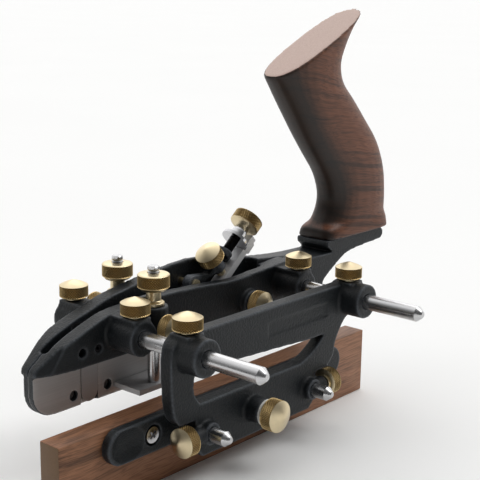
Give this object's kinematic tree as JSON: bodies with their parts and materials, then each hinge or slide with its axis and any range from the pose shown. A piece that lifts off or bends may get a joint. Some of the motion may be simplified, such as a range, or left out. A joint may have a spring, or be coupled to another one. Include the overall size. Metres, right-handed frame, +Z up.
{
  "type": "plough plane",
  "caption": "Cast plough plane with a body and a sliding section on rods, clamped blade, depth stops, nickers, a rod-guided fence with a wooden strip and a swept wooden handle.",
  "frame": {"origin": "on the sole of the far skate, in the middle of its thickness, straight under the front rod", "axes": "+X from toe to handle, +Y from the fence towards the main body along the rods, +Z up from the sole"},
  "size_m": [0.2887, 0.1381, 0.2135],
  "materials": {
    "casting": "satin black paint over a sand-cast grain",
    "lever": "satin black",
    "handle_wood": "oiled reddish brown hardwood",
    "strip_wood": "planed reddish brown hardwood",
    "rod_steel": "ground bright steel",
    "tool_steel": "ground tool steel",
    "screw_steel": "bright plated steel",
    "dark_steel": "black oxide steel",
    "washer": "white nylon",
    "brass": "satin brass with a knurled band"
  },
  "bodies": {
    "main": {"main_body": "casting", "handle": "handle_wood", "handle_screws": "screw_steel", "front_rod": "rod_steel", "rear_rod": "rod_steel", "clamp_lever": "lever", "clamp_pivot": "brass", "far_nicker_screw": "dark_steel"},
    "main_lock": {"main_lock": "brass"},
    "sliding": {"sliding_section": "casting", "near_nicker_screw": "dark_steel"},
    "slide_lock_front": {"slide_lock_front": "brass"},
    "slide_lock_rear": {"slide_lock_rear": "brass"},
    "spacing_screw": {"spacing_screw": "brass"},
    "near_stop": {"near_stop_foot": "tool_steel", "near_stop_post": "rod_steel"},
    "near_stop_nut": {"near_stop_nut": "brass"},
    "near_stop_lock": {"near_stop_lock": "brass"},
    "far_stop": {"far_stop_foot": "tool_steel", "far_stop_post": "rod_steel"},
    "far_stop_nut": {"far_stop_nut": "brass"},
    "far_stop_lock": {"far_stop_lock": "brass"},
    "near_nicker": {"near_nicker": "tool_steel"},
    "far_nicker": {"far_nicker": "tool_steel"},
    "blade": {"blade": "tool_steel"},
    "adjuster": {"adjuster_screw": "brass", "drive_flange": "rod_steel"},
    "clamp_screw": {"clamp_screw": "brass"},
    "fence": {"fence_frame": "casting", "fine_washer": "washer"},
    "fence_lock_front": {"fence_lock_front": "brass"},
    "fence_lock_rear": {"fence_lock_rear": "brass"},
    "fence_bar": {"fence_bar": "casting", "guide_rods": "rod_steel", "wooden_strip": "strip_wood", "strip_screws": "screw_steel"},
    "fine_screw": {"fine_screw": "brass"},
    "guide_lock_front": {"guide_lock_front": "brass"},
    "guide_lock_rear": {"guide_lock_rear": "brass"}
  },
  "joints": [
    {"name": "main_lock_turn", "type": "hinge", "parent": "main", "child": "main_lock", "pos_m": [0, 0.01975, 0.0335], "axis": [0, 0, 1], "range_deg": [0, 360]},
    {"name": "sliding_travel", "type": "slide", "parent": "main", "child": "sliding", "axis": [0, 1, 0], "range_m": [-0.012, 0]},
    {"name": "slide_lock_front_turn", "type": "hinge", "parent": "sliding", "child": "slide_lock_front", "pos_m": [0, -0.02325, 0.0335], "axis": [0, 0, 1], "range_deg": [0, 360]},
    {"name": "slide_lock_rear_turn", "type": "hinge", "parent": "sliding", "child": "slide_lock_rear", "pos_m": [0.122, -0.02325, 0.0335], "axis": [0, 0, 1], "range_deg": [0, 360]},
    {"name": "spacing_screw_turn", "type": "hinge", "parent": "sliding", "child": "spacing_screw", "pos_m": [0.094, -0.0156, 0.0282], "axis": [0, -1, 0], "range_deg": [0, 360]},
    {"name": "near_stop_travel", "type": "slide", "parent": "sliding", "child": "near_stop", "axis": [0, 0, 1], "range_m": [-0.00075, 0.009]},
    {"name": "near_stop_nut_turn", "type": "hinge", "parent": "sliding", "child": "near_stop_nut", "pos_m": [0.0164, -0.0186, 0.0444], "axis": [0, 0, 1], "range_deg": [-2160, 180]},
    {"name": "near_stop_lock_turn", "type": "hinge", "parent": "sliding", "child": "near_stop_lock", "pos_m": [0.0164, -0.0256, 0.035], "axis": [0, -1, 0], "range_deg": [0, 360]},
    {"name": "near_nicker_travel", "type": "slide", "parent": "sliding", "child": "near_nicker", "axis": [0, 0, 1], "range_m": [-0.0015, 0.003]},
    {"name": "far_stop_travel", "type": "slide", "parent": "main", "child": "far_stop", "axis": [0, 0, 1], "range_m": [-0.003, 0.009]},
    {"name": "far_stop_nut_turn", "type": "hinge", "parent": "main", "child": "far_stop_nut", "pos_m": [0.0245, 0.0151, 0.042], "axis": [0, 0, 1], "range_deg": [-2160, 720]},
    {"name": "far_stop_lock_turn", "type": "hinge", "parent": "main", "child": "far_stop_lock", "pos_m": [0.0245, 0.0221, 0.0326], "axis": [0, 1, 0], "range_deg": [0, 360]},
    {"name": "far_nicker_travel", "type": "slide", "parent": "main", "child": "far_nicker", "axis": [0, 0, 1], "range_m": [-0.0015, 0.003]},
    {"name": "blade_travel", "type": "slide", "parent": "main", "child": "blade", "axis": [0.766, 0, 0.6428], "range_m": [-0.0015, 0.003]},
    {"name": "adjuster_turn", "type": "hinge", "parent": "blade", "child": "adjuster", "pos_m": [0.08694, -0.00175, 0.05504], "axis": [0.766, 0, 0.6428], "range_deg": [-360, 720]},
    {"name": "clamp_screw_turn", "type": "hinge", "parent": "main", "child": "clamp_screw", "pos_m": [0.08041, -0.00175, 0.04773], "axis": [-0.6428, 0, 0.766], "range_deg": [0, 360]},
    {"name": "fence_travel", "type": "slide", "parent": "main", "child": "fence", "axis": [0, 1, 0], "range_m": [-0.03, 0.01]},
    {"name": "fence_lock_front_turn", "type": "hinge", "parent": "fence", "child": "fence_lock_front", "pos_m": [0, -0.0565, 0.0335], "axis": [0, 0, 1], "range_deg": [0, 360]},
    {"name": "fence_lock_rear_turn", "type": "hinge", "parent": "fence", "child": "fence_lock_rear", "pos_m": [0.122, -0.0565, 0.0335], "axis": [0, 0, 1], "range_deg": [0, 360]},
    {"name": "fence_bar_travel", "type": "slide", "parent": "fence", "child": "fence_bar", "axis": [0, 1, 0], "range_m": [-0.003, 0.003]},
    {"name": "fine_screw_turn", "type": "hinge", "parent": "fence", "child": "fine_screw", "pos_m": [0.045, -0.0605, -0.0056], "axis": [0, 1, 0], "range_deg": [-720, 720]},
    {"name": "guide_lock_front_turn", "type": "hinge", "parent": "fence", "child": "guide_lock_front", "pos_m": [0.0075, -0.0582, -0.0076], "axis": [-1, 0, 0], "range_deg": [0, 360]},
    {"name": "guide_lock_rear_turn", "type": "hinge", "parent": "fence", "child": "guide_lock_rear", "pos_m": [0.0935, -0.0582, -0.0076], "axis": [1, 0, 0], "range_deg": [0, 360]}
  ],
  "couplings": [
    {"joint": "near_stop_nut_turn", "follows": "near_stop_travel", "rad_per_m": -4188.8},
    {"joint": "far_stop_nut_turn", "follows": "far_stop_travel", "rad_per_m": -4188.8},
    {"joint": "adjuster_turn", "follows": "blade_travel", "rad_per_m": 4188.8},
    {"joint": "fine_screw_turn", "follows": "fence_bar_travel", "rad_per_m": -4188.8}
  ]
}
